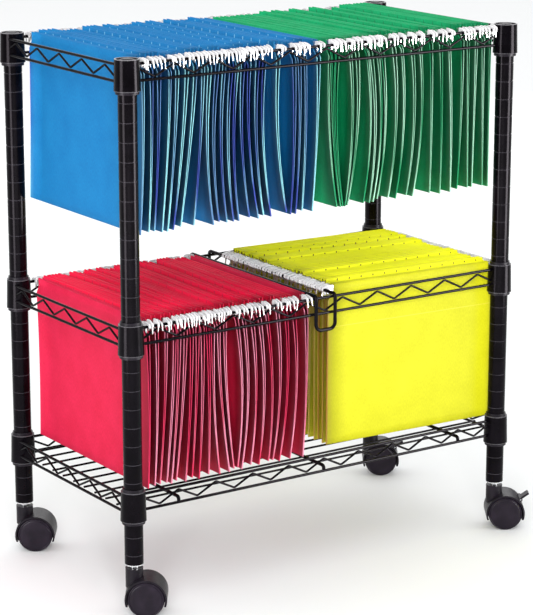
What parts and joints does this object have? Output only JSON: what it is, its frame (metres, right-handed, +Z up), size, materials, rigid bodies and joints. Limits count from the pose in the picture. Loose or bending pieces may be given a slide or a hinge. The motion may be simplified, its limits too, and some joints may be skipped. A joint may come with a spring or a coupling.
{
  "type": "hanging file rack",
  "caption": "rolling black wire rack on casters with two tiers of coloured hanging folders, a base tray and a divider for a second pack",
  "frame": {"origin": "on the floor, midway between the four posts", "axes": "+X to the rack's right seen from its front, -Y towards the front, +Z up"},
  "size_m": [0.6939, 0.3764, 0.75],
  "materials": {
    "black_enamel": "gloss black epoxy powder coat",
    "black_plastic": "satin moulded black plastic",
    "wheel_plastic": "smooth dark nylon",
    "zinc": "bright zinc plate",
    "hanger_steel": "coated steel strip with white tips",
    "blue_card": "dyed card stock",
    "green_card": "dyed card stock",
    "red_card": "dyed card stock",
    "yellow_card": "dyed card stock"
  },
  "bodies": {
    "frame": {"post_front_left": "black_enamel", "post_front_right": "black_enamel", "post_rear_left": "black_enamel", "post_rear_right": "black_enamel", "post_caps": "black_plastic", "collars_top": "black_enamel", "sleeves_top": "black_plastic", "front_rail_top": "black_enamel", "rear_rail_top": "black_enamel", "left_rail_top": "black_enamel", "right_rail_top": "black_enamel", "collars_middle": "black_enamel", "sleeves_middle": "black_plastic", "front_rail_middle": "black_enamel", "rear_rail_middle": "black_enamel", "left_rail_middle": "black_enamel", "right_rail_middle": "black_enamel", "collars_base": "black_enamel", "sleeves_base": "black_plastic", "front_rail_base": "black_enamel", "rear_rail_base": "black_enamel", "left_rail_base": "black_enamel", "right_rail_base": "black_enamel", "deck_wires": "black_enamel", "deck_crossbars": "black_enamel", "stem_inserts": "black_plastic", "caster_stems": "zinc"},
    "divider": {"divider": "black_enamel"},
    "blue_folders": {"blue_folder_cards": "blue_card", "blue_folder_strips": "hanger_steel"},
    "blue_end_folder": {"blue_end_folder": "blue_card"},
    "green_folders": {"green_folder_cards": "green_card", "green_folder_strips": "hanger_steel"},
    "green_end_folder": {"green_end_folder": "green_card"},
    "red_folders": {"red_folder_cards": "red_card", "red_folder_strips": "hanger_steel"},
    "red_end_folder": {"red_end_folder": "red_card"},
    "yellow_folders": {"yellow_folder_cards": "yellow_card", "yellow_folder_strips": "hanger_steel"},
    "yellow_end_folder": {"yellow_end_folder": "yellow_card"},
    "caster_front_left": {"caster_hood_front_left": "black_plastic", "caster_axle_front_left": "zinc"},
    "wheel_front_left_a": {"caster_wheel_front_left_a": "wheel_plastic"},
    "wheel_front_left_b": {"caster_wheel_front_left_b": "wheel_plastic"},
    "caster_front_right": {"caster_hood_front_right": "black_plastic", "caster_axle_front_right": "zinc"},
    "wheel_front_right_a": {"caster_wheel_front_right_a": "wheel_plastic"},
    "wheel_front_right_b": {"caster_wheel_front_right_b": "wheel_plastic"},
    "brake_front_right": {"brake_lever_front_right": "black_plastic"},
    "caster_rear_left": {"caster_hood_rear_left": "black_plastic", "caster_axle_rear_left": "zinc"},
    "wheel_rear_left_a": {"caster_wheel_rear_left_a": "wheel_plastic"},
    "wheel_rear_left_b": {"caster_wheel_rear_left_b": "wheel_plastic"},
    "caster_rear_right": {"caster_hood_rear_right": "black_plastic", "caster_axle_rear_right": "zinc"},
    "wheel_rear_right_a": {"caster_wheel_rear_right_a": "wheel_plastic"},
    "wheel_rear_right_b": {"caster_wheel_rear_right_b": "wheel_plastic"},
    "brake_rear_right": {"brake_lever_rear_right": "black_plastic"}
  },
  "joints": [
    {"name": "divider_slide", "type": "slide", "parent": "frame", "child": "divider", "axis": [1, 0, 0], "range_m": [-0.0009, 0.0009]},
    {"name": "blue_folders_slide", "type": "slide", "parent": "frame", "child": "blue_folders", "axis": [1, 0, 0], "range_m": [-0.006, 0.009]},
    {"name": "blue_end_folder_lift", "type": "slide", "parent": "blue_folders", "child": "blue_end_folder", "axis": [0, 0, 1], "range_m": [0, 0.24]},
    {"name": "green_folders_slide", "type": "slide", "parent": "frame", "child": "green_folders", "axis": [1, 0, 0], "range_m": [-0.009, 0.0015]},
    {"name": "green_end_folder_lift", "type": "slide", "parent": "green_folders", "child": "green_end_folder", "axis": [0, 0, 1], "range_m": [0, 0.24]},
    {"name": "red_folders_slide", "type": "slide", "parent": "frame", "child": "red_folders", "axis": [1, 0, 0], "range_m": [-0.0035, 0.0015]},
    {"name": "red_end_folder_lift", "type": "slide", "parent": "red_folders", "child": "red_end_folder", "axis": [0, 0, 1], "range_m": [0, 0.08]},
    {"name": "yellow_folders_slide", "type": "slide", "parent": "divider", "child": "yellow_folders", "axis": [0, 1, 0], "range_m": [0, 0.02]},
    {"name": "yellow_end_folder_lift", "type": "slide", "parent": "yellow_folders", "child": "yellow_end_folder", "axis": [0, 0, 1], "range_m": [0, 0.08]},
    {"name": "caster_front_left_swivel", "type": "hinge", "parent": "frame", "child": "caster_front_left", "pos_m": [-0.311, -0.154, 0.05], "axis": [0, 0, 1], "continuous": true},
    {"name": "wheel_front_left_a_spin", "type": "hinge", "parent": "caster_front_left", "child": "wheel_front_left_a", "pos_m": [-0.29775, -0.16296, 0.025], "axis": [0.5602, 0.8284, 0], "continuous": true},
    {"name": "wheel_front_left_b_spin", "type": "hinge", "parent": "caster_front_left", "child": "wheel_front_left_b", "pos_m": [-0.29775, -0.16296, 0.025], "axis": [0.5602, 0.8284, 0], "continuous": true},
    {"name": "caster_front_right_swivel", "type": "hinge", "parent": "frame", "child": "caster_front_right", "pos_m": [0.311, -0.154, 0.05], "axis": [0, 0, 1], "continuous": true},
    {"name": "wheel_front_right_a_spin", "type": "hinge", "parent": "caster_front_right", "child": "wheel_front_right_a", "pos_m": [0.32425, -0.16296, 0.025], "axis": [0.5602, 0.8284, 0], "continuous": true},
    {"name": "wheel_front_right_b_spin", "type": "hinge", "parent": "caster_front_right", "child": "wheel_front_right_b", "pos_m": [0.32425, -0.16296, 0.025], "axis": [0.5602, 0.8284, 0], "continuous": true},
    {"name": "brake_front_right_press", "type": "hinge", "parent": "caster_front_right", "child": "brake_front_right", "pos_m": [0.34297, -0.17562, 0.04396], "axis": [0.5602, 0.8284, 0], "range_deg": [0, 25]},
    {"name": "caster_rear_left_swivel", "type": "hinge", "parent": "frame", "child": "caster_rear_left", "pos_m": [-0.311, 0.154, 0.05], "axis": [0, 0, 1], "continuous": true},
    {"name": "wheel_rear_left_a_spin", "type": "hinge", "parent": "caster_rear_left", "child": "wheel_rear_left_a", "pos_m": [-0.29775, 0.14504, 0.025], "axis": [0.5602, 0.8284, 0], "continuous": true},
    {"name": "wheel_rear_left_b_spin", "type": "hinge", "parent": "caster_rear_left", "child": "wheel_rear_left_b", "pos_m": [-0.29775, 0.14504, 0.025], "axis": [0.5602, 0.8284, 0], "continuous": true},
    {"name": "caster_rear_right_swivel", "type": "hinge", "parent": "frame", "child": "caster_rear_right", "pos_m": [0.311, 0.154, 0.05], "axis": [0, 0, 1], "continuous": true},
    {"name": "wheel_rear_right_a_spin", "type": "hinge", "parent": "caster_rear_right", "child": "wheel_rear_right_a", "pos_m": [0.32425, 0.14504, 0.025], "axis": [0.5602, 0.8284, 0], "continuous": true},
    {"name": "wheel_rear_right_b_spin", "type": "hinge", "parent": "caster_rear_right", "child": "wheel_rear_right_b", "pos_m": [0.32425, 0.14504, 0.025], "axis": [0.5602, 0.8284, 0], "continuous": true},
    {"name": "brake_rear_right_press", "type": "hinge", "parent": "caster_rear_right", "child": "brake_rear_right", "pos_m": [0.34297, 0.13238, 0.04396], "axis": [0.5602, 0.8284, 0], "range_deg": [0, 25]}
  ]
}
